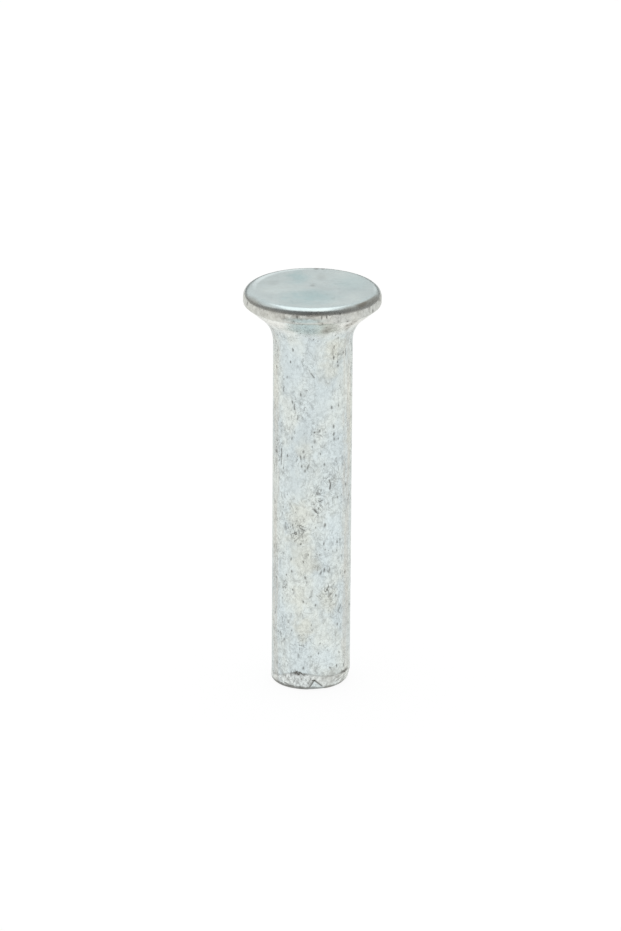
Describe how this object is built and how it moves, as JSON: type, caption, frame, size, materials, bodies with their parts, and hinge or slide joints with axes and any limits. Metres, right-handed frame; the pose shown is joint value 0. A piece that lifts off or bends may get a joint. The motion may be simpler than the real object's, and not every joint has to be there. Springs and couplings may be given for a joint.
{
  "type": "solid rivet",
  "caption": "Solid steel rivet with a flat disc head on a flared neck, a plain round shank and a cropped tail, bright zinc plated.",
  "frame": {"origin": "centre of the tail's end face, on the surface that the rivet stands on", "axes": "+Z along the shank from the tail to the head; the cropped nose leans towards -X; +Y is the rivet's back"},
  "size_m": [0.0138, 0.0138, 0.042],
  "materials": {
    "zinc_plate": "bright bluish zinc plate on cold-headed steel, glossy on the head and flare, satin with fine pits, scratches and drawing lines on the shank"
  },
  "bodies": {
    "root": {"rivet": "zinc_plate"}
  },
  "joints": []
}
